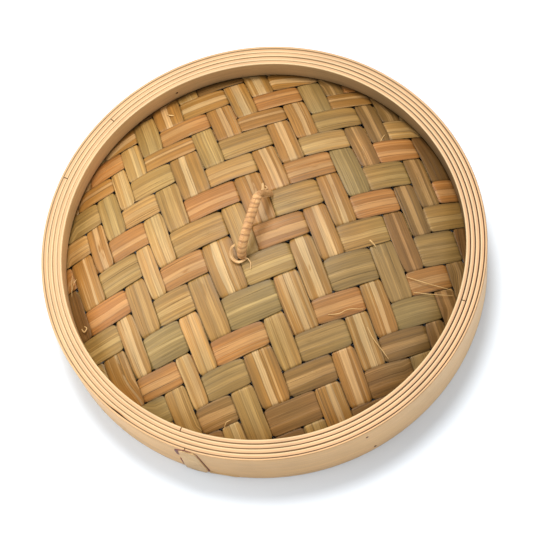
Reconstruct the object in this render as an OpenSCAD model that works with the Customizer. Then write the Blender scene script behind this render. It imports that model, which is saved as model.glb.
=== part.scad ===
// Lid of a bamboo steamer: a rim of bent bamboo plies, a domed twill-woven
// cover clamped between two hoops, and a cane-wrapped loop handle.
// Frame: origin at the centre of the rim's bottom edge, +Z up, strips along X and Y.

/* [Rim] */
// Outside diameter of the rim
rim_d = 254; // [180:1:320]
// Height of the rim
rim_h = 35.5; // [30:0.5:45]
// Thickness of one bent ply
ply_t = 2.65; // [2:0.05:3.2]
// Thickness of the thin outer band
band_t = 1.4; // [1.2:0.1:2]
// Depth of the seat that drops over a basket's collar
seat_depth = 10; // [8:0.5:12]
// Width of the open joint where a ply's two ends meet
joint_gap = 0.5; // [0.3:0.1:1.5]

/* [Woven cover] */
// Rise of the cover's crown above its edge
dome_rise = 36; // [20:1:44]
// Depth of the cover's edge below the rim's top
cover_depth = 16; // [14:0.5:18]
// Thickness of one bamboo strip
strip_t = 0.9; // [0.6:0.05:1]
// Gap between neighbouring strips
strip_gap = 0.8; // [0.5:0.1:1.2]
// How far the strips bow outwards round the crown
strip_bow = 0.035; // [0:0.005:0.04]

/* [Handle] */
// Height of the handle's arch above its feet
handle_rise = 22; // [16:0.5:26]
// Diameter of the handle's cane core
core_d = 3.4; // [2.4:0.1:3.6]
// Thickness of the cane wound round the core
wrap_t = 0.85; // [0.4:0.05:0.9]
// Turns of the winding
wrap_turns = 12; // [8:1:16]

/* [Fasteners] */
// Diameter of the bamboo pegs through the plies
peg_d = 1.6; // [1:0.1:2.4]
// Width of the lacing strip over the outer band's seam
lace_w = 8.5; // [5:0.5:12]

/* [Hidden] */
$fn = 180;
rim_r = rim_d / 2;
ply_r = [for (i = [0:4]) rim_r - band_t - (4 - i) * ply_t];  // ply faces, inside to out
cover_r = ply_r[0];
cover_z = rim_h - cover_depth;
mat_r = cover_r + 1;          // the cover's edge lies 1 mm inside the hoops' wall
level = strip_t / 2 + 0.05;   // an over or under strip's distance from the mean surface
hoop_clear = 0.1;
seat_r = ply_r[2] + 0.6;      // the seat's wall, scraped back from the inner ply's back

// Widths of the hand-split strips, in weaving order, and where the first one starts
weft_w = [9.5, 14.5, 13.5, 14.5, 13.5, 18.5, 16, 15, 16.5, 15, 14, 15.5, 12, 13.5, 15.5, 8];
warp_w = [8.5, 14, 11, 12.5, 9.5, 11.5, 13.5, 17, 12.5, 15, 13.5, 13.5, 13, 13.5, 11.5, 11.5, 11, 12.5];
weave_start = -112.5;
weave_scale = cover_r / 115;  // the strips widen with the rim
function sum_to(list, n) = n <= 0 ? 0 : list[n - 1] + sum_to(list, n - 1);
weft_edge = [for (i = [0:len(weft_w)]) weave_scale * (weave_start + sum_to(weft_w, i))];
warp_edge = [for (i = [0:len(warp_w)]) weave_scale * (weave_start + sum_to(warp_w, i))];

// Bamboo shades: brown, amber, straw, olive, orange
SHADES = ["#8a6236", "#c79348", "#d9b473", "#a5915a", "#cf8443"];
weft_shade = [0, 0, 0, 3, 4, 3, 3, 4, 3, 4, 2, 3, 1, 4, 1, 0];
warp_shade = [0, 0, 1, 3, 2, 1, 3, 1, 3, 2, 1, 1, 1, 3, 3, 1, 3, 0];

// Angle round the rim of each ply's joint, from the inner hoops outwards
joint_at = [228, 321, 117, 138];
seam_at = 228.7;              // open seam of the outer band
lace_at = 230.2;              // near edge of the lacing strip
lace_t = 0.9;
lace_foot = 2.5;              // height of the strip's lower slit
lace_head = 32;               // height of its upper slit
lace_tail = 8;                // length of each end tucked behind the band

// Pegs: [angle, height] in two pairs across the rim
PEGS = [[-81.5, 5], [-83.1, 28], [98.5, 5], [96.9, 28]];

// The handle's feet go through the weave at two corners between strips
foot_a = corner(8, 7) + [2.4, 0.7];
foot_b = corner(10, 9) + [1.2, -2.2];
handle_mid = (foot_a + foot_b) / 2;
handle_half = norm(foot_b - foot_a) / 2;
handle_turn = atan2(foot_b[1] - foot_a[1], foot_b[0] - foot_a[0]);
handle_z = cover_z + dome_rise;

// The arch's centre line, as parts of the feet's distance and of its height: a straight
// back that climbs to a peak near the far foot
ARCH = [[0, 0], [0.015, 0.22], [0.10, 0.48], [0.26, 0.68], [0.42, 0.81], [0.56, 0.92],
        [0.68, 1], [0.76, 0.94], [0.84, 0.68], [0.92, 0.36], [0.985, 0.12], [1, 0]];
arch_end = len(ARCH) - 1;
foot_low = 7;                 // length of the feet below the arch
hitch_d = 1.8;                // small pegs that hold the feet under the cover
hitch_len = 13;
hitch_drop = 4.3;

// ---- the woven cover's geometry ----

// Plan position of weave coordinates (u, v): straight strips, bowed a little outwards
function plan(u, v) = [u * (1 + strip_bow * (1 - pow(v / cover_r, 2))),
                       v * (1 + strip_bow * (1 - pow(u / cover_r, 2)))];
function cover_at(p) = cover_z + dome_rise * (1 - (p * p) / pow(cover_r, 2));
function corner(i, j) = plan(warp_edge[i], weft_edge[j]);

// Two over, two under, stepping one strip along in each row
function weft_is_over(i, j) = (((i - j) % 4) + 4) % 4 >= 2;

// Half the chord of the cover's round edge, in weave coordinates, at distance d from the centre
function half_chord(d) =
    let (q = pow(d / cover_r, 2))
    sqrt(max(0, pow(mat_r, 2) - pow(d * (1 + strip_bow * q), 2))) / (1 + strip_bow * (1 - q));

// Nearest distance of a strip's two edges from the centre line
function near_edge(a, b) = a * b <= 0 ? 0 : min(abs(a), abs(b));

// Stations [along, side] of the strip between edges a and b, across strips with these edges
function stations(a, b, edges, sides) =
    let (reach = half_chord(near_edge(a, b) + 1))
    let (inner = [for (k = [0:len(edges) - 2], end = [0, 1])
                  let (s = edges[k + end] + (end == 0 ? 1 : -1) * strip_gap / 2)
                  if (abs(s) < reach - 0.6) [s, sides[k]]])
    concat([[-reach, inner[0][1]]], inner, [[reach, inner[len(inner) - 1][1]]]);

// Four corners of a strip's section at one station: low edge first, bottom before top
function section(s, side, a, b, is_weft) =
    let (lim = half_chord(s))
    let (lo = max(a + strip_gap / 2, -lim), hi = min(b - strip_gap / 2, lim))
    let (p = is_weft ? plan(s, lo) : plan(lo, s), q = is_weft ? plan(s, hi) : plan(hi, s))
    let (zp = cover_at(p) + side * level, zq = cover_at(q) + side * level)
    [[p[0], p[1], zp - strip_t / 2], [q[0], q[1], zq - strip_t / 2],
     [q[0], q[1], zq + strip_t / 2], [p[0], p[1], zp + strip_t / 2]];

// Skin of a tube through rings of n points; turn reverses the faces
function flip(f, turn) = turn ? [f[2], f[1], f[0]] : f;
function tube_faces(rings, n, turn = false) = concat(
    [for (r = [0:rings - 2], k = [0:n - 1], half = [0, 1])
        let (a = r * n + k, b = r * n + (k + 1) % n)
        flip(half == 0 ? [a, b, b + n] : [a, b + n, a + n], turn)],
    [for (k = [1:n - 2]) flip([0, k + 1, k], turn)],
    [for (k = [1:n - 2]) let (e = (rings - 1) * n) flip([e, e + k, e + k + 1], turn)]);

module strip(a, b, edges, sides, is_weft) {
    line = stations(a, b, edges, sides);
    rings = [for (st = line) section(st[0], st[1], a, b, is_weft)];
    polyhedron([for (ring = rings, p = ring) p], tube_faces(len(rings), 4, is_weft));
}

module foot_holes() {
    for (foot = [foot_a, foot_b])
        translate([foot[0], foot[1], handle_z - foot_low - 1])
            cylinder(h = foot_low + 4, d = core_d + 0.4, $fn = 48);
}

// Strip number j along X; the ones beside a handle foot are notched round it
module weft(j) {
    color(SHADES[weft_shade[j]])
        difference() {
            strip(weft_edge[j], weft_edge[j + 1], warp_edge,
                  [for (i = [0:len(warp_w) - 1]) weft_is_over(i, j) ? 1 : -1], true);
            if (j >= 6 && j <= 9) foot_holes();
        }
}

// Strip number i along Y
module warp(i) {
    color(SHADES[warp_shade[i]])
        difference() {
            strip(warp_edge[i], warp_edge[i + 1], weft_edge,
                  [for (j = [0:len(weft_w) - 1]) weft_is_over(i, j) ? -1 : 1], false);
            if (i >= 7 && i <= 10) foot_holes();
        }
}

// ---- the rim ----

module ring(r_in, r_out, z_low, z_high) {
    rotate_extrude()
        translate([r_in, z_low])
            square([r_out - r_in, z_high - z_low]);
}

module arc_plate(r_in, r_out, z_low, z_high, at, width) {
    sweep = width / r_out * 180 / PI;
    rotate([0, 0, at])
        rotate_extrude(angle = sweep)
            translate([r_in, z_low])
                square([r_out - r_in, z_high - z_low]);
}

module joint_cut(r, at) {
    rotate([0, 0, at])
        translate([r - 1, -joint_gap / 2, -1])
            cube([ply_t + 2, joint_gap, rim_h + 2]);
}

module peg_holes() {
    for (peg = PEGS)
        rotate([0, 0, peg[0]])
            translate([cover_r - 2, 0, peg[1]])
                rotate([0, 90, 0])
                    cylinder(h = rim_r - cover_r + 4, d = peg_d + 0.1, $fn = 32);
}

// One ply of the rim, number n from the inside, from z_low up to z_high
module ply(n, z_low, z_high, tone) {
    color(tone)
        difference() {
            ring(ply_r[n], ply_r[n + 1], z_low, z_high);
            joint_cut(ply_r[n], joint_at[n]);
            peg_holes();
        }
}

module outer_band() {
    color("#e6c48e")
        difference() {
            ring(ply_r[4], rim_r, 0, rim_h);
            joint_cut(ply_r[4], seam_at);
            lace_slits(0.15);
            peg_holes();
        }
}

module rim_ply_outer() {
    color("#f0d3a0")
        difference() {
            ring(ply_r[3], ply_r[4], 0, rim_h);
            joint_cut(ply_r[3], joint_at[3]);
            lace_tails(0.15);
            peg_holes();
        }
}

// Its lowest part is scraped thinner, and is the wall of the seat
module rim_ply_middle() {
    color("#eccb94")
        difference() {
            ply(2, 0, rim_h, "#eccb94");
            translate([0, 0, -1])
                cylinder(h = seat_depth + 1, r = seat_r);
        }
}

module rim_ply_inner() {
    ply(1, seat_depth, rim_h, "#f0d3a0");
}

module upper_hoop() {
    hoop_low = cover_z + level + strip_t / 2 + hoop_clear;
    ply(0, hoop_low, rim_h, "#e2bd85");
}

module lower_hoop() {
    edge_drop = dome_rise * (pow((mat_r + 1) / cover_r, 2) - 1);
    hoop_high = cover_z - edge_drop - level - strip_t / 2 - hoop_clear;
    ply(0, seat_depth, hoop_high, "#d9b27a");
}

module rim_pegs() {
    color("#6b4a2a")
        for (peg = PEGS)
            rotate([0, 0, peg[0]])
                translate([peg[1] < seat_depth ? seat_r : cover_r, 0, peg[1]])
                    rotate([0, 90, 0])
                        cylinder(h = rim_r + 0.15 - (peg[1] < seat_depth ? seat_r : cover_r),
                                 d = peg_d, $fn = 32);
}

// The lacing strip's run through the band, and its ends behind the band
module lace_slits(clear) {
    for (z = [lace_foot, lace_head])
        arc_plate(ply_r[4] - lace_t, rim_r + 0.05 + lace_t, z - clear, z + lace_t + clear,
                  lace_at - clear / 2, lace_w + 2 * clear);
}

module lace_tails(clear) {
    arc_plate(ply_r[4] - lace_t - clear, ply_r[4] + 0.01, lace_foot - clear,
              lace_foot + lace_tail + clear, lace_at - clear / 2, lace_w + 2 * clear);
    arc_plate(ply_r[4] - lace_t - clear, ply_r[4] + 0.01, lace_head + lace_t - lace_tail - clear,
              lace_head + lace_t + clear, lace_at - clear / 2, lace_w + 2 * clear);
}

module lacing_strip() {
    color("#dcb57c") {
        arc_plate(rim_r + 0.05, rim_r + 0.05 + lace_t, lace_foot, lace_head + lace_t,
                  lace_at, lace_w);
        lace_slits(0);
        arc_plate(ply_r[4] - lace_t, ply_r[4] - 0.05, lace_foot, lace_foot + lace_tail,
                  lace_at, lace_w);
        arc_plate(ply_r[4] - lace_t, ply_r[4] - 0.05, lace_head + lace_t - lace_tail,
                  lace_head + lace_t, lace_at, lace_w);
    }
}

// ---- the handle ----

// Smooth curve through ARCH at place t, from 0 to arch_end; past an end it runs straight on
function arch_point(k) = k < 0 ? 2 * ARCH[0] - ARCH[1]
    : k > arch_end ? 2 * ARCH[arch_end] - ARCH[arch_end - 1] : ARCH[k];
function blend(k, f) =
    let (a = arch_point(k - 1), b = arch_point(k), c = arch_point(k + 1), d = arch_point(k + 2))
    0.5 * (2 * b + (c - a) * f + (2 * a - 5 * b + 4 * c - d) * pow(f, 2)
           + (3 * b - a - 3 * c + d) * pow(f, 3));

// Centre line in the handle's own upright plane, and its direction
function arch(t) =
    let (k = min(floor(t), arch_end - 1), p = blend(k, t - k))
    [(2 * p[0] - 1) * handle_half, p[1] * handle_rise];
function arch_dir(t) =
    let (e = 0.02, d = arch(min(t + e, arch_end)) - arch(max(t - e, 0)))
    d / norm(d);

// A point at radius r and angle w round the centre line
function around(t, r, w) =
    let (c = arch(t), d = arch_dir(t))
    [c[0] - d[1] * r * cos(w), r * sin(w), c[1] + d[0] * r * cos(w)];

module in_handle_frame() {
    translate([handle_mid[0], handle_mid[1], handle_z])
        rotate([0, 0, handle_turn])
            children();
}

module hitch_peg(side, d) {
    translate([side * handle_half, 0, -hitch_drop])
        rotate([90, 0, 0])
            cylinder(h = hitch_len, d = d, center = true, $fn = 32);
}

// Ring number k of the core's skin; the first and last are the ends of the feet
function core_ring(k, rings, sides) =
    let (t = arch_end * min(max(k - 1, 0), rings) / rings, drop = k == 0 || k == rings + 2 ? foot_low : 0)
    [for (s = [0:sides - 1]) around(t, core_d / 2, 360 * s / sides) - [0, 0, drop]];

module handle_core() {
    sides = 16;
    rings = 44;
    points = [for (k = [0:rings + 2]) each core_ring(k, rings, sides)];
    color("#b98a55")
        in_handle_frame()
            difference() {
                polyhedron(points, tube_faces(rings + 3, sides));
                for (side = [-1, 1])
                    hitch_peg(side, hitch_d + 0.1);
            }
}

module handle_wrap() {
    per_turn = 16;
    steps = wrap_turns * per_turn;
    start = 0.35;                   // places on the arch between which the winding runs
    end = 6.2;
    pitch = (end - start) / (wrap_turns + 1);
    half_w = pitch * 0.45;
    r_in = core_d / 2 + 0.16;
    r_out = core_d / 2 + 0.1 + wrap_t;
    points = [for (k = [0:steps])
              let (t = start + half_w + pitch * k / per_turn, w = 360 * k / per_turn)
              each [around(t - half_w, r_in, w), around(t + half_w, r_in, w),
                    around(t + half_w, r_out, w), around(t - half_w, r_out, w)]];
    color("#c98f5e")
        in_handle_frame()
            polyhedron(points, tube_faces(steps + 1, 4));
}

module handle_hitch_pegs() {
    color("#8a6236")
        in_handle_frame()
            for (side = [-1, 1])
                hitch_peg(side, hitch_d);
}

outer_band();
rim_ply_outer();
rim_ply_middle();
rim_ply_inner();
upper_hoop();
lower_hoop();
rim_pegs();
lacing_strip();
handle_core();
handle_wrap();
handle_hitch_pegs();
weft(0);  // weft_01
weft(1);  // weft_02
weft(2);  // weft_03
weft(3);  // weft_04
weft(4);  // weft_05
weft(5);  // weft_06
weft(6);  // weft_07
weft(7);  // weft_08
weft(8);  // weft_09
weft(9);  // weft_10
weft(10);  // weft_11
weft(11);  // weft_12
weft(12);  // weft_13
weft(13);  // weft_14
weft(14);  // weft_15
weft(15);  // weft_16
warp(0);  // warp_01
warp(1);  // warp_02
warp(2);  // warp_03
warp(3);  // warp_04
warp(4);  // warp_05
warp(5);  // warp_06
warp(6);  // warp_07
warp(7);  // warp_08
warp(8);  // warp_09
warp(9);  // warp_10
warp(10);  // warp_11
warp(11);  // warp_12
warp(12);  // warp_13
warp(13);  // warp_14
warp(14);  // warp_15
warp(15);  // warp_16
warp(16);  // warp_17
warp(17);  // warp_18
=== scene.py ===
"""Looks of a bamboo steamer's lid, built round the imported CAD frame.

Metres, in the CAD frame: origin at the centre of the rim's bottom edge, +Z up,
weft strips along X and warp strips along Y.
"""

import math

import bpy
import numpy as np
from mathutils import Matrix, Vector


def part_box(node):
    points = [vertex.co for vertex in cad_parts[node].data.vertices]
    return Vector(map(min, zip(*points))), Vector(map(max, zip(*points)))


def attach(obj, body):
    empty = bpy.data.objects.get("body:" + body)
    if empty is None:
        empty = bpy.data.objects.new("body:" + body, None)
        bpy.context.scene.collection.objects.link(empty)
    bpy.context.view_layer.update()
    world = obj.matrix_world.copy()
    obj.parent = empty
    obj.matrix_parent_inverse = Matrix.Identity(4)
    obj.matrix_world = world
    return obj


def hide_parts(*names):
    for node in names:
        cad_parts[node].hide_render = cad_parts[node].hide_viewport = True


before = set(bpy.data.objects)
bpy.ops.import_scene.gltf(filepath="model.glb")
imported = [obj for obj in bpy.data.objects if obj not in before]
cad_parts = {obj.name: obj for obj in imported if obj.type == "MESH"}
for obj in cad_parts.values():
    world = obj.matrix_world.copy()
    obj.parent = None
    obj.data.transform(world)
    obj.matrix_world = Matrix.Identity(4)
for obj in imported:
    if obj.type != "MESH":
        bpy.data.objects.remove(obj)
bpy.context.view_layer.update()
MM = 0.001

# ---- driving values read from the frame ----

RIM_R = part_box("outer_band")[1].x
PLY_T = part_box("rim_ply_inner")[1].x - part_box("upper_hoop")[1].x
COVER_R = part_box("upper_hoop")[1].x - PLY_T
MAT_R = COVER_R + 1 * MM
STRIP_T = 0.9 * MM
STRIP_GAP = 0.8 * MM
STRIP_BOW = 0.035
LEVEL = STRIP_T / 2 + 0.05 * MM
HOOP_CLEAR = 0.1 * MM
COVER_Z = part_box("upper_hoop")[0].z - LEVEL - STRIP_T / 2 - HOOP_CLEAR
WEFTS = 16
WARPS = 18


def cover_crown():
    """Height of the cover's mean surface at its crown, from the highest strip."""
    top = max(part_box(f"weft_{k:02d}")[1].z for k in range(1, WEFTS + 1))
    return top - LEVEL - STRIP_T / 2


DOME_RISE = cover_crown() - COVER_Z


def strip_edges(family, count, axis):
    """Weave coordinates of the lines between a family's strips, outermost ones included."""
    boxes = [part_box(f"{family}_{k:02d}") for k in range(1, count + 1)]
    swell = 1 + STRIP_BOW
    lines = [(boxes[0][0][axis] - STRIP_GAP / 2) / swell]
    for low, high in zip(boxes, boxes[1:]):
        above = low[1][axis] > 0
        edge = low[1][axis] + STRIP_GAP / 2 if above else high[0][axis] - STRIP_GAP / 2
        lines.append(edge / swell)
    return lines + [(boxes[-1][1][axis] + STRIP_GAP / 2) / swell]


WEFT_EDGE = strip_edges("weft", WEFTS, 1)
WARP_EDGE = strip_edges("warp", WARPS, 0)


SURFACE = 0.76  # share of each display colour that a surface reflects under these lamps


def srgb(r, g, b):
    """Linear surface colour, with alpha, for a 0-255 display colour."""
    def linear(c):
        c /= 255
        return c / 12.92 if c <= 0.04045 else ((c + 0.055) / 1.055) ** 2.4
    return (SURFACE * linear(r), SURFACE * linear(g), SURFACE * linear(b), 1.0)


# ---- materials ----

class Nodes:
    """Short calls for building one material's node tree."""

    def __init__(self, name, roughness=0.5, sheen=0.0, specular=0.35):
        self.mat = bpy.data.materials.new(name)
        self.mat.use_nodes = True
        self.tree = self.mat.node_tree
        self.bsdf = self.tree.nodes["Principled BSDF"]
        self.bsdf.inputs["Roughness"].default_value = roughness
        self.bsdf.inputs["Specular IOR Level"].default_value = specular
        self.bsdf.inputs["Sheen Weight"].default_value = sheen

    def new(self, kind, **values):
        node = self.tree.nodes.new(kind)
        for key, value in values.items():
            setattr(node, key, value)
        return node

    def plug(self, socket, value):
        if isinstance(value, bpy.types.NodeSocket):
            self.tree.links.new(value, socket)
        else:
            socket.default_value = value

    def math(self, operation, *values, clamp=False):
        node = self.new("ShaderNodeMath", operation=operation, use_clamp=clamp)
        for socket, value in zip(node.inputs, values):
            self.plug(socket, value)
        return node.outputs[0]

    def smooth(self, value, low, high):
        """0 below low, 1 above high, eased between them."""
        node = self.new("ShaderNodeMapRange", interpolation_type="SMOOTHSTEP")
        for key, given in (("Value", value), ("From Min", low), ("From Max", high)):
            self.plug(node.inputs[key], given)
        return node.outputs[0]

    def mix(self, factor, a, b, blend="MIX"):
        node = self.new("ShaderNodeMix", data_type="RGBA", blend_type=blend)
        for key, given in ((0, factor), (6, a), (7, b)):
            self.plug(node.inputs[key], given)
        return node.outputs[2]

    def vector(self, x, y, z):
        node = self.new("ShaderNodeCombineXYZ")
        for socket, value in zip(node.inputs, (x, y, z)):
            self.plug(socket, value)
        return node.outputs[0]

    def noise(self, vector, scale=1.0, detail=3.0, rough=0.55):
        node = self.new("ShaderNodeTexNoise")
        self.plug(node.inputs["Vector"], vector)
        node.inputs["Scale"].default_value = scale
        node.inputs["Detail"].default_value = detail
        node.inputs["Roughness"].default_value = rough
        return node.outputs["Fac"]

    def attribute(self, name):
        return self.new("ShaderNodeAttribute", attribute_name=name)

    def split(self, vector):
        node = self.new("ShaderNodeSeparateXYZ")
        self.plug(node.inputs[0], vector)
        return node.outputs

    def finish(self, colour, height, distance, roughness=None):
        bump = self.new("ShaderNodeBump")
        bump.inputs["Strength"].default_value = 1.0
        bump.inputs["Distance"].default_value = distance
        self.plug(bump.inputs["Height"], height)
        self.plug(self.bsdf.inputs["Normal"], bump.outputs[0])
        self.plug(self.bsdf.inputs["Base Color"], colour)
        if roughness is not None:
            self.plug(self.bsdf.inputs["Roughness"], roughness)
        return self.mat


def woven_material():
    """Split bamboo: fibres along the strip, a planed pale streak, darker skin beside it."""
    n = Nodes("woven_bamboo", roughness=0.46)
    along, across, seed = n.split(n.attribute("strip").outputs["Vector"])
    centre, half, depth = n.split(n.attribute("streak").outputs["Vector"])
    base = n.attribute("base_tint").outputs["Color"]
    pale = n.attribute("pale_tint").outputs["Color"]

    def stretched(per_along, per_across, detail=2.0, rough=0.55):
        at = n.vector(n.math("MULTIPLY", along, per_along), n.math("MULTIPLY", across, per_across), seed)
        return n.noise(at, detail=detail, rough=rough)

    # the streak wanders, swells and breaks off unevenly at the nodes of the cane
    wander = n.math("MULTIPLY", n.math("SUBTRACT", stretched(24.0, 0.0), 0.5), 2.4 * MM)
    swell = n.math("ADD", 0.55, n.math("MULTIPLY", stretched(31.0, 90.0, 4.0), 0.9))
    off = n.math("ABSOLUTE", n.math("SUBTRACT", n.math("ADD", across, wander), centre))
    width = n.math("MULTIPLY", half, swell)
    in_streak = n.smooth(n.math("SUBTRACT", width, off), -0.10 * MM, 0.10 * MM)
    breaks = n.smooth(stretched(38.0, 150.0, 3.0), 0.30, 0.36)
    in_streak = n.math("MULTIPLY", in_streak, breaks)
    side = n.smooth(stretched(9.0, 620.0, 1.0), 0.60, 0.64)
    streaks = n.math("MAXIMUM", n.math("MULTIPLY", in_streak, depth), n.math("MULTIPLY", side, 0.45))

    fibres = stretched(16.0, 1300.0, 5.0, 0.72)
    fine = stretched(60.0, 5200.0)
    bands = stretched(5.0, 520.0, 1.0)
    patch = stretched(45.0, 60.0)
    drift = stretched(17.0, 20.0, 1.0)
    warm = n.mix(n.smooth(drift, 0.35, 0.65), (1.06, 0.98, 0.85, 1), (0.95, 0.98, 0.91, 1))
    colour = n.mix(streaks, base, pale)
    colour = n.mix(1.0, colour, warm, blend="MULTIPLY")
    node = n.smooth(stretched(52.0, 260.0, 5.0, 0.7), 0.66, 0.72)
    colour = n.mix(n.math("MULTIPLY", node, 0.55), colour, srgb(196, 160, 108))

    shade = n.math("ADD", 0.22, n.math("MULTIPLY", fibres, 1.42))
    shade = n.math("MULTIPLY", shade, n.math("ADD", 0.70, n.math("MULTIPLY", fine, 0.60)))
    shade = n.math("MULTIPLY", shade, n.math("ADD", 0.62, n.math("MULTIPLY", bands, 0.72)))
    shade = n.math("MULTIPLY", shade, n.math("ADD", 0.80, n.math("MULTIPLY", patch, 0.40)))
    split_at = n.math("ABSOLUTE", n.math("SUBTRACT", off, width))
    split_at = n.math("ADD", n.smooth(split_at, 0.0, 0.30 * MM), n.math("SUBTRACT", 1.0, breaks))
    shade = n.math("MULTIPLY", shade, n.math("ADD", 0.78, n.math("MULTIPLY", split_at, 0.22), clamp=True))
    # painted light: the cover is painted lighter on the -X side and darker towards +X, where the lamps'
    # light falls off
    x = n.split(n.new("ShaderNodeNewGeometry").outputs["Position"])[0]
    shade = n.math("MULTIPLY", shade, n.math("SUBTRACT", 0.88, n.math("MULTIPLY", x, 1.15)))
    crack = n.smooth(stretched(7.0, 1500.0, 2.0), 0.69, 0.73)
    shade = n.math("MULTIPLY", shade, n.math("SUBTRACT", 1.0, n.math("MULTIPLY", crack, 0.45)))
    # painted shade: the 'edge' value darkens the strip's sides, underside and top edges, so the gaps between
    # strips look dark
    edge = n.attribute("edge").outputs["Fac"]
    shade = n.math("MULTIPLY", shade, n.math("SUBTRACT", 1.0, n.math("MULTIPLY", edge, 0.80)))
    colour = n.mix(1.0, colour, n.vector(shade, shade, shade), blend="MULTIPLY")
    height = n.math("ADD", n.math("MULTIPLY", fibres, 0.9), n.math("MULTIPLY", fine, 0.4))
    height = n.math("ADD", height, n.math("MULTIPLY", in_streak, -0.45))
    height = n.math("ADD", height, n.math("MULTIPLY", node, 0.8))
    height = n.math("SUBTRACT", height, n.math("MULTIPLY", crack, 1.2))
    rough = n.math("ADD", 0.36, n.math("MULTIPLY", fibres, 0.25))
    return n.finish(colour, height, 0.16 * MM, rough)


LIT_WALL_SIDE = 2.6      # radians round the rim to the side whose walls are painted lighter
BROWNER_SIDE = -2.05  # and to the side where the walls are darker and browner


def ply_material(name, light, warm, line, wall, r_in, r_out, lit_side_gain=0.0):
    """Bent bamboo: growth fibres round the rim, and a dark skin line at each cut edge.

    The last argument is the painted light: how much lighter its wall is painted on the side that the lamps
    light.
    """
    n = Nodes(name, roughness=0.5)
    geo = n.new("ShaderNodeNewGeometry")
    x, y, z = n.split(geo.outputs["Position"])
    radius = n.math("SQRT", n.math("ADD", n.math("MULTIPLY", x, x), n.math("MULTIPLY", y, y)))
    angle = n.math("ARCTAN2", y, x)
    slope = n.split(geo.outputs["Normal"])[2]
    # fibres run round the rim, so the noise is stretched along the angle
    round_x = n.math("MULTIPLY", n.math("COSINE", angle), 2.4)
    round_y = n.math("MULTIPLY", n.math("SINE", angle), 2.4)
    section = n.math("ADD", radius, z)
    fibres = n.noise(n.vector(round_x, round_y, n.math("MULTIPLY", section, 1500.0)), detail=4.0)
    fine_at = n.vector(n.math("MULTIPLY", round_x, 6.0), n.math("MULTIPLY", round_y, 6.0),
                       n.math("MULTIPLY", section, 5200.0))
    fine = n.noise(fine_at, detail=2.0)
    blotch = n.noise(n.vector(n.math("MULTIPLY", x, 28.0), n.math("MULTIPLY", y, 28.0),
                              n.math("MULTIPLY", z, 60.0)), detail=3.0)
    part = n.math("DIVIDE", n.math("SUBTRACT", radius, r_in), r_out - r_in)
    waver = n.math("MULTIPLY", n.math("SUBTRACT", fibres, 0.5), 0.25)
    warm_at = n.math("SUBTRACT", 1.0, n.math("MULTIPLY", 2.6, n.math(
        "ABSOLUTE", n.math("SUBTRACT", n.math("ADD", part, waver), 0.55))), clamp=True)
    top = n.mix(warm_at, light, warm)
    # painted shade: the dark skin line at each ply's outer edge is drawn wider and darker towards the -30°
    # side of the rim, where the valleys between plies are in shade, and fainter on the lit side
    skin_and_shade = n.math("ADD", 0.72, n.math("MULTIPLY", n.math("COSINE", n.math("ADD", angle, 0.5)), 0.28))
    shaded_part = n.math("ADD", part, n.math("MULTIPLY", skin_and_shade, 0.07))
    skin = n.smooth(n.math("ADD", shaded_part, n.math("MULTIPLY", waver, 0.5)), 0.78, 0.92)
    top = n.mix(n.math("MULTIPLY", skin, skin_and_shade), top, line)
    up = n.smooth(slope, 0.35, 0.75)
    # painted light: each wall is painted lighter on one side of the rim, where the lamps light the inner
    # walls, by the last argument
    painted_light = n.math("COSINE", n.math("SUBTRACT", angle, LIT_WALL_SIDE))
    painted_light = n.math("ADD", 1.0, n.math("MULTIPLY", painted_light, lit_side_gain))
    wall = n.mix(1.0, wall, n.vector(painted_light, painted_light, painted_light), blend="MULTIPLY")
    # the walls are darker and browner round one side of the rim
    browner = n.smooth(n.math("COSINE", n.math("SUBTRACT", angle, BROWNER_SIDE)), 0.5, 1.0)
    wall = n.mix(browner, wall, n.mix(1.0, wall, (0.98, 0.90, 0.76, 1), blend="MULTIPLY"))
    colour = n.mix(up, wall, top)
    # painted light: the whole ply is painted darker towards the +X side and lighter towards -X, as the
    # lamps' light falls on the rim
    shaded_side = n.math("COSINE", n.math("SUBTRACT", angle, 0.3))
    shade = n.math("SUBTRACT", 0.57, n.math("MULTIPLY", shaded_side, 0.05))
    shade = n.math("ADD", shade, n.math("MULTIPLY", fibres, 0.60))
    shade = n.math("MULTIPLY", shade, n.math("ADD", 0.84, n.math("MULTIPLY", fine, 0.32)))
    shade = n.math("MULTIPLY", shade, n.math("ADD", 0.84, n.math("MULTIPLY", blotch, 0.32)))
    colour = n.mix(1.0, colour, n.vector(shade, shade, shade), blend="MULTIPLY")
    height = n.math("ADD", fibres, n.math("MULTIPLY", fine, 0.4))
    return n.finish(colour, height, 0.08 * MM, n.math("ADD", 0.42, n.math("MULTIPLY", fibres, 0.2)))


def cane_material(name, light, dark):
    """Rattan: long fibres along the strip, and painted shade in the grooves at its edges."""
    n = Nodes(name, roughness=0.42)
    along, across, seed = n.split(n.attribute("strip").outputs["Vector"])
    at = n.vector(n.math("MULTIPLY", along, 60.0), n.math("MULTIPLY", across, 2800.0), seed)
    fibres = n.noise(at, detail=4.0)
    blotch = n.noise(n.vector(n.math("MULTIPLY", along, 160.0), seed, across), detail=2.0)
    tone = n.math("ADD", n.math("MULTIPLY", fibres, 0.55), n.math("MULTIPLY", blotch, 0.45))
    colour = n.mix(n.smooth(tone, 0.35, 0.68), dark, light)
    # painted shade: a dark brown where the 'edge' value is high, in the grooves between the winding's turns
    edge = n.attribute("edge").outputs["Fac"]
    colour = n.mix(n.math("MULTIPLY", edge, 0.7), colour, srgb(96, 52, 26))
    return n.finish(colour, fibres, 0.10 * MM, n.math("ADD", 0.34, n.math("MULTIPLY", fibres, 0.2)))


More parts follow.
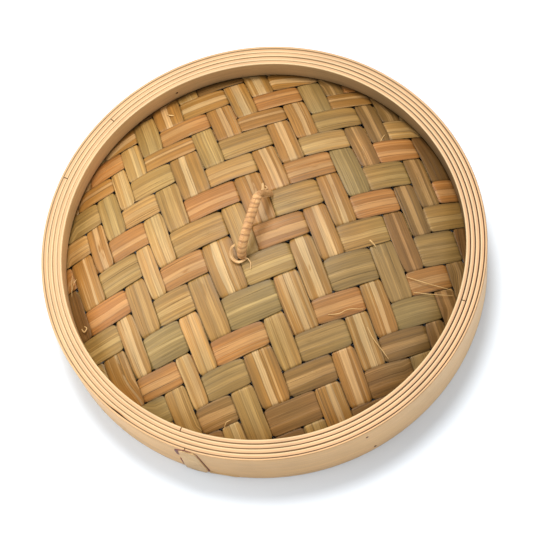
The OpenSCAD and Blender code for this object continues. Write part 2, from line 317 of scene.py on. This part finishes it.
def plain_bamboo(name, light, dark):
    """Small bamboo pieces: pegs and hidden hoops, with a grain from their place."""
    n = Nodes(name, roughness=0.5)
    place = n.new("ShaderNodeNewGeometry").outputs["Position"]
    grain = n.noise(place, scale=900.0, detail=4.0)
    patch = n.noise(place, scale=120.0, detail=2.0)
    tone = n.math("ADD", n.math("MULTIPLY", grain, 0.5), n.math("MULTIPLY", patch, 0.5))
    return n.finish(n.mix(n.smooth(tone, 0.35, 0.65), dark, light), grain, 0.05 * MM)


# ---- mesh building ----

def closed_tube(name, rings, material, attributes, sharp=38.0):
    """A closed skin through rings (stations, points, 3); attributes hold one value a point."""
    stations, points, _ = rings.shape
    k = np.arange(points)
    nxt = (k + 1) % points
    start = (np.arange(stations - 1) * points)[:, None]
    quads = np.stack([start + k, start + nxt, start + nxt + points, start + k + points], -1)
    faces = quads.reshape(-1, 4).tolist()
    faces.append(list(range(points))[::-1])
    faces.append(list(range((stations - 1) * points, stations * points)))
    mesh = bpy.data.meshes.new(name)
    mesh.from_pydata(rings.reshape(-1, 3).tolist(), [], faces)
    for key, values in attributes.items():
        values = np.asarray(values, np.float32)
        kind = {1: "FLOAT", 3: "FLOAT_VECTOR", 4: "FLOAT_COLOR"}[values.shape[-1]]
        layer = mesh.attributes.new(key, kind, "POINT")
        field = {"FLOAT": "value", "FLOAT_VECTOR": "vector", "FLOAT_COLOR": "color"}[kind]
        spread = np.broadcast_to(values, (stations, points, values.shape[-1]))
        layer.data.foreach_set(field, np.ascontiguousarray(spread).reshape(-1))
    mesh.materials.append(material)
    mesh.shade_smooth()
    mesh.set_sharp_from_angle(angle=math.radians(sharp))
    piece = bpy.data.objects.new(name, mesh)
    bpy.context.scene.collection.objects.link(piece)
    if signed_volume(mesh) < 0:
        mesh.flip_normals()
    return piece


def signed_volume(mesh):
    """Positive when the faces look outwards."""
    mesh.calc_loop_triangles()
    co = np.array([v.co for v in mesh.vertices])
    tri = np.array([t.vertices for t in mesh.loop_triangles])
    a, b, c = co[tri[:, 0]], co[tri[:, 1]], co[tri[:, 2]]
    return float(np.einsum("ij,ij->i", a, np.cross(b, c)).sum())


def ripple(rng, at, period, size):
    """A smooth random wave along at, of about that period and size."""
    waves = [rng.uniform(0.6, 1.5) for _ in range(4)]
    phases = [rng.uniform(0, 2 * math.pi) for _ in range(4)]
    total = sum(np.sin(2 * math.pi * at / period * w + p) for w, p in zip(waves, phases))
    return size * total / 2.2


# ---- the woven cover ----

def plan(u, v):
    """Plan position of weave coordinates: straight strips, bowed a little outwards."""
    return (u * (1 + STRIP_BOW * (1 - (v / COVER_R) ** 2)),
            v * (1 + STRIP_BOW * (1 - (u / COVER_R) ** 2)))


def cover_height(x, y):
    return COVER_Z + DOME_RISE * (1 - (x * x + y * y) / COVER_R ** 2)


def half_chord(d):
    """Half the chord of the cover's round edge at distance d from the centre."""
    q = (d / COVER_R) ** 2
    room = np.maximum(0, MAT_R ** 2 - (d * (1 + STRIP_BOW * q)) ** 2)
    return np.sqrt(room) / (1 + STRIP_BOW * (1 - q))


def weft_is_over(i, j):
    return (i - j) % 4 >= 2


def strip_level(s, lines, sides):
    """-1 under to 1 over along the strip, easing where it changes level."""
    ease = 0.62 * MM
    level = np.full_like(s, float(sides[0]))
    for line, before, after in zip(lines[1:-1], sides, sides[1:]):
        level += (after - before) / 2 * (1 + np.tanh((s - line) / ease))
    return level


def float_bulge(s, lines, sides):
    """0 to 1 hump over each float, where the strip rides over two others."""
    hump = np.zeros_like(s)
    k = 0
    while k < len(sides):
        if sides[k] < 0:
            k += 1
            continue
        end = k
        while end + 1 < len(sides) and sides[end + 1] > 0:
            end += 1
        low, high = lines[k], lines[end + 1]
        inside = (s > low) & (s < high)
        hump[inside] = np.sin(math.pi * (s[inside] - low) / (high - low)) ** 0.7
        k = end + 1
    return hump


TOP_POINTS = 11
BOTTOM_POINTS = 4


def woven_strip(name, number, low, high, lines, sides, is_weft, look, material):
    """One strip from weave line low to high, over and under the strips between lines."""
    rng = np.random.default_rng(100 + number + (50 if is_weft else 0))
    near = 0.0 if low * high <= 0 else min(abs(low), abs(high))
    reach = float(half_chord(near + 0.6 * MM))
    steps = [np.linspace(-reach, reach, int(2 * reach / (1.3 * MM)))]
    steps += [line + np.linspace(-0.9, 0.9, 7) * MM for line in lines if abs(line) < reach - 1 * MM]
    s = np.unique(np.round(np.concatenate(steps), 6))
    limit = half_chord(s)
    hump = float_bulge(s, lines, sides)
    pinch = np.clip(1.0 * MM + ripple(rng, s, 23 * MM, 0.5 * MM), 0.3 * MM, None) * (1 - hump) ** 3
    lo = low + 0.12 * MM + pinch + ripple(rng, s, 50 * MM, 0.22 * MM)
    hi = high - 0.12 * MM - pinch + ripple(rng, s, 50 * MM, 0.22 * MM)
    lo, hi = np.maximum(lo, -limit), np.minimum(hi, limit)
    keep = hi - lo > 0.5 * MM
    s, lo, hi, hump = s[keep], lo[keep], hi[keep], hump[keep]
    mid, half = (lo + hi) / 2, (hi - lo) / 2

    spread = np.linspace(-1, 1, TOP_POINTS)
    q = np.concatenate([np.sin(spread * math.pi / 2), np.linspace(0.96, -0.96, BOTTOM_POINTS)])
    is_top = np.arange(len(q)) < TOP_POINTS
    thick = STRIP_T * 0.78
    crown = 0.22 * MM * (1 - q ** 2)
    edge_round = 0.16 * MM * np.abs(q) ** 14
    skin = np.where(is_top, thick / 2 + crown - edge_round, -thick / 2 + 0.05 * MM * np.abs(q) ** 6)
    across = mid[:, None] + half[:, None] * q
    along = np.broadcast_to(s[:, None], across.shape)
    x, y = plan(along, across) if is_weft else plan(across, along)
    level = LEVEL * strip_level(s, lines, sides)
    level += 0.55 * MM * hump + ripple(rng, s, 45 * MM, 0.07 * MM)
    tilt = ripple(rng, s, 45 * MM, 0.16 * MM)
    z = cover_height(x, y) + level[:, None] + tilt[:, None] * q + skin
    rings = np.stack([x, y, z], -1)

    base, pale, centre, width, depth = look
    offset = across - mid[:, None]
    seed = np.full_like(across, rng.uniform(0, 60))
    # painted shade: the sides, the underside and the last edge of the top get the 'edge' value that the
    # material darkens
    edge = np.where(is_top, 0.6 * np.abs(q) ** 24, 1.0)
    mean_half = float(half.mean())
    attributes = {
        "strip": np.stack([along, offset, seed], -1),
        "streak": np.array([centre * mean_half, width * mean_half, depth]),
        "base_tint": np.array(base),
        "pale_tint": np.array(pale),
        "edge": np.broadcast_to(edge[:, None], across.shape + (1,)),
    }
    piece = closed_tube(name + "_splint", rings, material, attributes)
    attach(piece, "root")
    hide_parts(name)
    return piece


# Colours of the skin and of the planed streak, by shade
SHADES = {
    "brown": (srgb(132, 94, 48), srgb(152, 112, 62)),
    "umber": (srgb(146, 107, 56), srgb(188, 144, 90)),
    "amber": (srgb(172, 124, 60), srgb(207, 168, 116)),
    "straw": (srgb(188, 144, 82), srgb(210, 174, 120)),
    "olive": (srgb(168, 130, 70), srgb(193, 157, 98)),
    "moss": (srgb(156, 126, 73), srgb(184, 152, 97)),
    "orange": (srgb(178, 122, 62), srgb(206, 156, 100)),
}

# Each strip from the -Y or -X side: shade, streak's middle and half width across it, contrast
WEFT_LOOKS = [
    ("brown", 0.0, 0.3, 0.3), ("umber", -0.1, 0.3, 0.2), ("umber", -0.05, 0.35, 0.8),
    ("moss", 0.1, 0.5, 0.4), ("orange", -0.1, 0.35, 0.6), ("moss", 0.0, 0.1, 0.8),
    ("olive", -0.15, 0.22, 0.8), ("orange", -0.15, 0.3, 0.8), ("olive", -0.3, 0.2, 0.5),
    ("orange", -0.25, 0.22, 0.8), ("straw", -0.1, 0.25, 0.4), ("olive", -0.3, 0.4, 0.5),
    ("amber", 0.25, 0.2, 0.6), ("orange", 0.3, 0.3, 0.5), ("amber", 0.0, 0.35, 0.9),
    ("brown", 0.0, 0.2, 0.3),
]
WARP_LOOKS = [
    ("brown", 0.0, 0.3, 0.3), ("amber", 0.26, 0.14, 1.0), ("amber", 0.0, 0.4, 0.9),
    ("olive", 0.15, 0.35, 0.8), ("straw", 0.25, 0.38, 0.7), ("straw", 0.25, 0.33, 0.6),
    ("olive", 0.1, 0.4, 0.6), ("amber", -0.15, 0.25, 1.0), ("olive", 0.13, 0.28, 0.7),
    ("amber", 0.1, 0.26, 0.9), ("amber", 0.0, 0.36, 1.0), ("amber", 0.05, 0.36, 1.0),
    ("amber", 0.12, 0.26, 0.9), ("moss", -0.35, 0.42, 0.6), ("umber", 0.0, 0.18, 1.0),
    ("umber", 0.0, 0.32, 1.0), ("umber", 0.13, 0.26, 0.9), ("brown", 0.0, 0.3, 0.3),
]


def woven_cover():
    material = woven_material()
    for j, (shade, centre, width, depth) in enumerate(WEFT_LOOKS):
        sides = [1 if weft_is_over(i, j) else -1 for i in range(WARPS)]
        woven_strip(f"weft_{j + 1:02d}", j, WEFT_EDGE[j], WEFT_EDGE[j + 1], WARP_EDGE, sides, True,
                    (*SHADES[shade], centre, width, depth), material)
    for i, (shade, centre, width, depth) in enumerate(WARP_LOOKS):
        sides = [-1 if weft_is_over(i, j) else 1 for j in range(WEFTS)]
        woven_strip(f"warp_{i + 1:02d}", i, WARP_EDGE[i], WARP_EDGE[i + 1], WEFT_EDGE, sides, False,
                    (*SHADES[shade], centre, width, depth), material)


# ---- the rim ----

def rim_section(r_in, r_out, z_low, z_high, soft):
    """Outline of a ply's cut, with soft corners, as (radius, height) points."""
    points = []
    corners = [(r_in, z_low, -1, -1), (r_out, z_low, 1, -1), (r_out, z_high, 1, 1), (r_in, z_high, -1, 1)]
    for number, (r, z, sr, sz) in enumerate(corners):
        for step in range(4):
            turn = math.radians(180 + 90 * number + 30 * step)
            points.append((r - sr * soft + soft * math.cos(turn), z - sz * soft + soft * math.sin(turn)))
    inside = np.linspace(z_high - soft, z_low + soft, 5)[1:-1]
    outside = inside[::-1]
    points = points[:8] + [(r_out, z) for z in outside] + points[8:] + [(r_in, z) for z in inside]
    return np.array(points)


SLACK_AT = math.radians(211)  # where the outer ply stands off the band
SLACK_SPAN = 0.05             # radians to each side of it


def bent_ply(node, r_in, material, joint_deg, seed, drop=0.0, foot=0.0, skewed=False, slack=0.0):
    """A ply bent round from joint to joint; its top edge is a little uneven and drop lower.

    foot lifts its bottom edge, skewed cuts the joint to the outer band's zigzag, and slack
    draws its outer face in where the band stands off it.
    """
    rng = np.random.default_rng(seed)
    low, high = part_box(node)
    r_out = high.x
    gap = 0.5 * MM / r_out
    start = math.radians(joint_deg) + gap / 2
    turn = np.linspace(0, 2 * math.pi - gap, 541)
    angle = start + turn
    section = rim_section(r_in + 0.07 * MM, r_out - 0.07 * MM, low.z + foot, high.z, 0.5 * MM)
    top = -np.abs(ripple(rng, angle * r_out, 130 * MM, 0.16 * MM)) - drop
    lift = np.clip((section[:, 1] - (high.z - 6 * MM)) / (6 * MM), 0, 1)
    height = section[:, 1] + top[:, None] * lift
    radius = np.broadcast_to(section[:, 0], height.shape).copy()
    if slack:
        away = np.mod(angle - SLACK_AT + math.pi, 2 * math.pi) - math.pi
        here = np.exp(-(away / SLACK_SPAN) ** 2)
        outer = section[:, 0] > (r_in + r_out) / 2
        radius -= slack * here[:, None] * outer * np.clip(height / (20 * MM), 0, 1)
    round_angle = np.broadcast_to(angle[:, None], height.shape).copy()
    if skewed:
        away = np.minimum(turn, turn[-1] - turn) * r_out
        zigzag = np.interp(height, np.array([0, 27, 30.5, 35.5]) * MM, np.radians([0.3, 0.1, -0.2, 2.3]))
        round_angle += zigzag * np.exp(-(away / (7 * MM)) ** 2)[:, None]
        opening = np.interp(height, np.array([0, 20, 31, 35.5]) * MM, np.array([0.1, 0, 0.45, 0.3]) * MM)
        round_angle += opening / r_out * np.exp(-(turn * r_out / (5 * MM)) ** 2)[:, None]
    rings = np.stack([radius * np.cos(round_angle), radius * np.sin(round_angle), height], -1)
    piece = closed_tube(node + "_bent", rings, material, {})
    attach(piece, "root")
    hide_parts(node)
    return piece


CREAM = srgb(238, 205, 156)
ROSE = srgb(218, 166, 114)
SKIN_LINE = srgb(98, 46, 16)
WALL = srgb(237, 197, 146)
INNER_WALL = srgb(198, 162, 114)
HIDDEN_WALL = srgb(128, 72, 40)


def rim():
    plies = [
        ("upper_hoop", COVER_R, 228, INNER_WALL, {"drop": 0.1 * MM, "foot": 1.1 * MM}),
        ("rim_ply_inner", COVER_R + PLY_T, 321, INNER_WALL, {"drop": 0.35 * MM}),
        ("rim_ply_middle", COVER_R + 2 * PLY_T, 117, INNER_WALL, {"drop": 0.2 * MM}),
        ("rim_ply_outer", COVER_R + 3 * PLY_T, 138, HIDDEN_WALL, {"drop": 0.4 * MM, "slack": 0.6 * MM}),
        ("outer_band", COVER_R + 4 * PLY_T, 228.7, WALL, {"drop": 0.1 * MM, "skewed": True}),
        ("lower_hoop", COVER_R, 228, INNER_WALL, {}),
    ]
    for number, (node, r_in, joint, wall, shape) in enumerate(plies):
        r_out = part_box(node)[1].x
        # painted light on the inner walls only
        lit_side_gain = 0.6 if wall is INNER_WALL else 0.0
        material = ply_material(node + "_bamboo", CREAM, ROSE, SKIN_LINE, wall, r_in, r_out, lit_side_gain)
        bent_ply(node, r_in, material, joint, 20 + number, **shape)
    set_material("rim_pegs", plain_bamboo("peg_bamboo", srgb(120, 76, 40), srgb(60, 32, 16)))
    set_material("handle_hitch_pegs", plain_bamboo("hitch_bamboo", srgb(168, 120, 70), srgb(104, 66, 36)))


def curved_plate(name, outline, r_in, r_out, material, soft):
    """A plate bent round the rim, from its outline in (angle in degrees, height in mm)."""
    outline = np.array(outline, float)
    outline[:, 0] *= math.pi / 180
    outline[:, 1] *= MM
    middle = outline.mean(axis=0)
    size = np.array([1.0 / RIM_R, 1.0])
    rings = []
    for radius, inset in ((r_in, 0.0), (r_out - soft, 0.0), (r_out - soft * 0.3, soft * 0.3), (r_out, soft)):
        toward = (middle - outline) / size
        toward /= np.linalg.norm(toward, axis=1, keepdims=True)
        ring = outline + toward * inset * size
        rings.append(np.stack([radius * np.cos(ring[:, 0]), radius * np.sin(ring[:, 0]), ring[:, 1]], -1))
    return closed_tube(name, np.array(rings), material, {})


SPLINT_T = 0.9 * MM    # how far the lacing splint stands off the band
SHADE_PLATE_T = 0.12 * MM    # and the dark plates of painted shade laid in its slot and seam
SUNK = 0.1 * MM


def lacing():
    """The splint threaded through the band beside its seam, and a splint's tail along the foot."""
    material = plain_bamboo("lacing_bamboo", srgb(226, 188, 134), srgb(204, 162, 108))
    # painted shade: a dark brown for the plates that stand for the shade in the splint's slot and the seam's
    # crack
    dark = plain_bamboo("lacing_painted_shade", srgb(150, 54, 20), srgb(86, 26, 8))
    outline = [(-129.9, 33.6), (-126.8, 34.2), (-126.3, 33.2), (-125.9, 26), (-125.2, 14), (-124.8, 6),
               (-125.0, 3.2), (-125.5, 1.2), (-128.0, 0.8), (-130.6, 0.9), (-131.0, 6), (-130.9, 16),
               (-130.9, 26), (-130.8, 31), (-130.5, 32.6)]
    tongue = curved_plate("lacing_tongue", outline, RIM_R, RIM_R + SPLINT_T, material, 0.35 * MM)
    # painted shade: dark plates laid on the band along the splint's slot, the seam's tear and its gap, where
    # these fall in shade
    shade_plates = {
        "lacing_slot_shade": [(-126.7, 34.0), (-126.1, 33.0), (-125.6, 26), (-124.9, 14), (-124.4, 6),
                        (-124.4, 2.6), (-125.0, 2.2), (-125.4, 6), (-126.0, 14), (-126.5, 26)],
        "seam_tear_shade": [(-128.9, 35.7), (-130.6, 33.8), (-131.9, 31.6), (-132.2, 28.5), (-132.0, 22),
                      (-131.3, 21.5), (-131.3, 28), (-131.1, 30.8), (-130.4, 32.9), (-129.6, 33.9),
                      (-127.6, 34.9), (-127.2, 35.7)],
        "seam_gap_shade": [(-131.7, 15), (-131.1, 15), (-130.9, 8), (-131.0, 2), (-131.6, 2), (-131.7, 8)],
    }
    pieces = [tongue]
    for name, gap in shade_plates.items():
        pieces.append(curved_plate(name, gap, RIM_R - SUNK, RIM_R + SHADE_PLATE_T, dark, 0.05 * MM))
    outline = [(-124.6, 3.6), (-121, 3.3), (-117.5, 2.6), (-116.8, 1.6), (-118, 0.8), (-124.6, 0.7)]
    pieces.append(curved_plate("lacing_tail", outline, RIM_R - SUNK, RIM_R + 0.3 * MM, material, 0.2 * MM))
    for piece in pieces:
        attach(piece, "root")
    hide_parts("lacing_strip")


def set_material(node, material):
    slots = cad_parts[node].data.materials
    slots.clear()
    slots.append(material)


# ---- the handle ----

HANDLE_RISE = 22 * MM
CORE_R = 1.7 * MM
ARCH = [(0, 0), (0.015, 0.22), (0.10, 0.48), (0.26, 0.68), (0.42, 0.81), (0.56, 0.92),
        (0.68, 1), (0.76, 0.94), (0.84, 0.68), (0.92, 0.36), (0.985, 0.12), (1, 0)]
WIND_FROM, WIND_TO, TURNS = 0.35, 6.25, 13


def smooth_path(points, places):
    """Points of the smooth curve through the given ones, at places counted in points."""
    points = np.array(points, float)
    padded = np.vstack([2 * points[0] - points[1], points, 2 * points[-1] - points[-2]])
    out = []
    for place in places:
        k = min(int(place), len(points) - 2)
        f = place - k
        a, b, c, d = padded[k:k + 4]
        out.append(0.5 * ((2 * b) + (c - a) * f + (2 * a - 5 * b + 4 * c - d) * f ** 2
                          + (3 * b - a - 3 * c + d) * f ** 3))
    return np.array(out)


class Arch:
    """Centre line of the handle, from the feet of the CAD core."""

    def __init__(self):
        low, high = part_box("handle_core")
        a = Vector((low.x + CORE_R, low.y + CORE_R, 0))
        b = Vector((high.x - CORE_R, high.y - CORE_R, 0))
        self.mid = (a + b) / 2
        self.mid.z = COVER_Z + DOME_RISE
        self.half = (b - a).length / 2
        self.along = (b - a).normalized()
        self.side = Vector((-self.along.y, self.along.x, 0))

    def line(self, place):
        part, rise = smooth_path(ARCH, [place])[0]
        return (2 * part - 1) * self.half, rise * HANDLE_RISE

    def at(self, place, radius=0.0, round_deg=0.0):
        """A point at a radius round the centre line."""
        w = math.radians(round_deg)
        x, h = self.line(place)
        before, after = self.line(max(place - 0.03, 0)), self.line(min(place + 0.03, len(ARCH) - 1))
        dx, dh = after[0] - before[0], after[1] - before[1]
        size = math.hypot(dx, dh)
        out_x = x - dh / size * radius * math.cos(w)
        out_h = h + dx / size * radius * math.cos(w)
        return self.mid + self.along * out_x + self.side * radius * math.sin(w) + Vector((0, 0, out_h))


def winding(arch, material):
    """Rattan strip wound round the core: a skin with a ridge for each turn."""
    rng = np.random.default_rng(7)
    fullness = rng.uniform(0.82, 1.0, 16)
    rounds = np.arange(0, 360, 15)
    rings, strip, groove = [], [], []
    for t in np.arange(WIND_FROM, WIND_TO, 0.02):
        turn = TURNS * (t - WIND_FROM) / (WIND_TO - WIND_FROM)
        ring, ring_strip, ring_groove = [], [], []
        for w in rounds:
            phase = turn + w / 360 + 0.08 * math.sin(math.radians(w * 2 + 40 * turn))
            ridge = abs(math.sin(math.pi * phase)) ** 0.24
            full = fullness[int(phase) % 16]
            ring.append(arch.at(t, 2.28 * MM + 0.37 * MM * ridge * full, w))
            ring_strip.append((w / 360 * 0.016, (phase % 1) * 0.003, int(phase) * 3.7))
            # painted shade: the grooves between turns get a high 'edge' value, which the material darkens
            ring_groove.append((min(1.0, 1.5 * (1 - ridge)),))
        rings.append(ring)
        strip.append(ring_strip)
        groove.append(ring_groove)
    return closed_tube("handle_winding", np.array(rings), material,
                       {"strip": np.array(strip), "edge": np.array(groove)}, sharp=60)


def fibre(name, points, width, thick, material, tip=0.15):
    """A loose fibre or splint through points in mm, tapering to its ends."""
    path = smooth_path(points, np.linspace(0, len(points) - 1, 26)) * MM
    direction = np.gradient(path, axis=0)
    direction /= np.linalg.norm(direction, axis=1, keepdims=True)
    across = np.cross(direction, np.array([0.0, 0.0, 1.0]))
    across /= np.linalg.norm(across, axis=1, keepdims=True)
    normal = np.cross(across, direction)
    place = np.linspace(0, 1, len(path))
    size = tip + (1 - tip) * np.sin(math.pi * np.clip(place * 0.8 + 0.15, 0, 1)) ** 0.5
    turns = np.radians(np.arange(0, 360, 45))
    wide = (np.cos(turns) * width * MM / 2)[None, :, None]
    deep = (np.sin(turns) * thick * MM / 2)[None, :, None]
    taper = size[:, None, None]
    rings = path[:, None] + across[:, None] * wide * taper + normal[:, None] * deep * taper
    strip = np.zeros((len(path), len(turns), 3))
    strip[..., 0] = (place * 0.02)[:, None]
    strip[..., 1] = np.cos(turns) * width * MM / 2
    strip[..., 2] = len(name)
    piece = closed_tube(name, rings, material, {"strip": strip, "edge": np.zeros((1, 1, 1))}, sharp=70)
    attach(piece, "root")
    return piece


def handle():
    arch = Arch()
    cane = cane_material("winding_cane", srgb(238, 188, 126), srgb(186, 130, 76))
    wound = winding(arch, cane)
    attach(wound, "root")
    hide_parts("handle_wrap")
    set_material("handle_core", plain_bamboo("core_cane", srgb(214, 166, 108), srgb(172, 120, 70)))
    loose = cane_material("loose_cane", srgb(244, 206, 150), srgb(196, 144, 86))
    # each strand's points, width and thickness
    strands = {
        "loop_strand": ([(-15.0, -8.6, 66), (-17.0, -8.2, 63), (-18.6, -10.2, 59.6), (-18.4, -13.0, 57.8),
                         (-16.2, -15.2, 57.2), (-13.2, -15.2, 57.2), (-11.2, -14.4, 56.8)], 1.7, 0.5),
        "curl_strand": ([(-13.6, -13.8, 58.2), (-11.0, -15.6, 58.6), (-10.2, -18.4, 58),
                         (-11.2, -21.4, 57)], 0.5, 0.4),
        "leg_strand_1": ([(4.8, 8.6, 78.4), (7.2, 9.8, 74.5), (8.9, 11.2, 69), (11.4, 13.9, 62.5),
                          (13.5, 16.5, 57)], 2.0, 0.8),
        "leg_strand_2": ([(5.2, 9.6, 79), (7.6, 11.6, 76), (9.7, 13.2, 70.4), (12.2, 15.6, 63.2),
                          (14.6, 17.4, 57)], 1.6, 0.7),
        "leg_strand_3": ([(6.0, 9.6, 77.6), (8.4, 12.4, 73), (10.4, 16.2, 67.4), (11.4, 20.2, 62.4),
                          (12.2, 24.3, 58)], 1.4, 0.7),
        "leg_strand_4": ([(5.6, 9.2, 77), (8.2, 10.6, 73), (10.8, 12.6, 66), (13.2, 14.8, 58.6)], 0.8, 0.5),
        "leg_strand_5": ([(11.0, 18.8, 63.6), (12.4, 18.0, 62.4), (13.4, 19.6, 61),
                          (12.8, 21.4, 60)], 0.7, 0.5),
    }
    for name, (points, width, thick) in strands.items():
        fibre(name, points, width, thick, loose, tip=0.5)


def splinters():
    """Loose fibres that stand up from the cover."""
    pale = cane_material("splinter", srgb(236, 200, 140), srgb(206, 160, 96))
    places = {
        "splinter_1": [(68.0, -51.0, 38.0), (78.0, -57.5, 33.6), (90.0, -63.5, 26.0)],
        "splinter_2": [(68.5, -60.0, 35.5), (78.0, -63.6, 31.6), (89.5, -66.2, 24.6)],
        "splinter_3": [(56.0, -27.0, 49.0), (57.0, -28.8, 48.4), (58.0, -31.0, 46.4)],
        "splinter_4": [(19.3, -58.8, 46.8), (25.0, -60.6, 47.2), (31.0, -60.0, 46.6), (38.6, -61.8, 43.6)],
        "splinter_5": [(37.2, -71.0, 39.6), (38.0, -78.0, 37.4), (40.2, -84.5, 34.6), (42.0, -89.8, 31.0)],
        "splinter_6": [(-112.6, -5.0, 22.6), (-111.6, -8.0, 24.6), (-109.6, -6.4, 24.8),
                       (-110.8, -4.0, 23.4)],
        "splinter_7": [(-111.4, 18.4, 22.8), (-108.6, 21.6, 26.0), (-106.0, 24.2, 25.6)],
        "splinter_8": [(-112.0, 16.0, 22.6), (-109.4, 22.6, 25.8), (-107.6, 27.4, 25.4)],
        "splinter_9": [(89.6, 38.6, 31.6), (87.6, 36.6, 33.4), (85.4, 34.2, 34.4)],
        "splinter_10": [(-23.6, 103.2, 27.0), (-22.4, 101.0, 29.4), (-20.4, 99.8, 29.6)],
        "splinter_11": [(-55.6, -91.8, 26.4), (-53.6, -90.0, 28.8), (-50.6, -89.6, 29.2)],
    }
    for name, points in places.items():
        thin = 0.75 if name in ("splinter_3", "splinter_6", "splinter_10") else 0.42
        fibre(name, points, thin, 0.4, pale)


# ---- floor, lights and camera ----

def stage():
    floor_mat = Nodes("floor_white", roughness=0.9, specular=0.1)
    floor_mat.bsdf.inputs["Base Color"].default_value = (0.68, 0.735, 0.80, 1)
    mesh = bpy.data.meshes.new("floor")
    size = 3.0
    corners = [(-size, -size, 0), (size, -size, 0), (size, size, 0), (-size, size, 0)]
    mesh.from_pydata(corners, [], [(0, 1, 2, 3)])
    mesh.materials.append(floor_mat.mat)
    floor = bpy.data.objects.new("floor", mesh)
    bpy.context.scene.collection.objects.link(floor)
    floor.location.z = -0.0002


def area_light(name, size, power, back, distance, colour):
    data = bpy.data.lights.new(name, "AREA")
    data.shape = "DISK"
    data.size = size
    data.energy = power
    data.color = colour
    light = bpy.data.objects.new(name, data)
    bpy.context.scene.collection.objects.link(light)
    light.location = Vector(back).normalized() * distance
    light.rotation_mode = "QUATERNION"
    light.rotation_quaternion = (-light.location).to_track_quat("-Z", "Y")


def bearing(azimuth, elevation):
    """Direction towards an azimuth and elevation in degrees."""
    a, e = math.radians(azimuth), math.radians(elevation)
    return (math.cos(a) * math.cos(e), math.sin(a) * math.cos(e), math.sin(e))


WARM_WHITE = (1.0, 0.98, 0.95)


def lights():
    world = bpy.data.worlds.new("studio")
    bpy.context.scene.world = world
    world.use_nodes = True
    world.node_tree.nodes["Background"].inputs[0].default_value = (1.0, 1.0, 1.0, 1)
    world.node_tree.nodes["Background"].inputs[1].default_value = 0.62
    area_light("top", 0.5, 21, bearing(78, 70), 1.5, (1.0, 0.985, 0.96))
    area_light("left", 1.0, 8, bearing(165, 30), 1.0, WARM_WHITE)
    area_light("right", 1.8, 9, bearing(-36, 32), 1.5, WARM_WHITE)


CAMERA_ELEVATION = math.radians(66.9)
CAMERA_TURN = math.radians(-4.6)
CAMERA_ROLL = math.radians(-16.4)
CAMERA_DISTANCE = 8 * RIM_R
FRAME_PIXELS = 533
FOCAL_PIXELS = 217.4 * 8


def camera():
    turn = Matrix.Rotation(CAMERA_TURN, 3, "Z")
    e = CAMERA_ELEVATION
    back = turn @ Vector((0, -math.cos(e), math.sin(e)))
    right = turn @ Vector((1, 0, 0))
    up = back.cross(right)
    side = math.cos(CAMERA_ROLL) * right + math.sin(CAMERA_ROLL) * up
    head = -math.sin(CAMERA_ROLL) * right + math.cos(CAMERA_ROLL) * up
    data = bpy.data.cameras.new("camera")
    data.sensor_width = 36.0
    data.lens = FOCAL_PIXELS / FRAME_PIXELS * data.sensor_width
    data.shift_x = -0.0034
    data.shift_y = 0.0011
    data.clip_start = 0.05
    cam = bpy.data.objects.new("camera", data)
    bpy.context.scene.collection.objects.link(cam)
    axes = Matrix((side, head, back)).transposed()
    cam.matrix_world = Matrix.Translation(back * CAMERA_DISTANCE) @ axes.to_4x4()
    bpy.context.scene.camera = cam


camera()
stage()
lights()
rim()
lacing()
woven_cover()
handle()
splinters()
bpy.context.scene.view_settings.view_transform = "Standard"
bpy.context.scene.view_settings.look = "None"
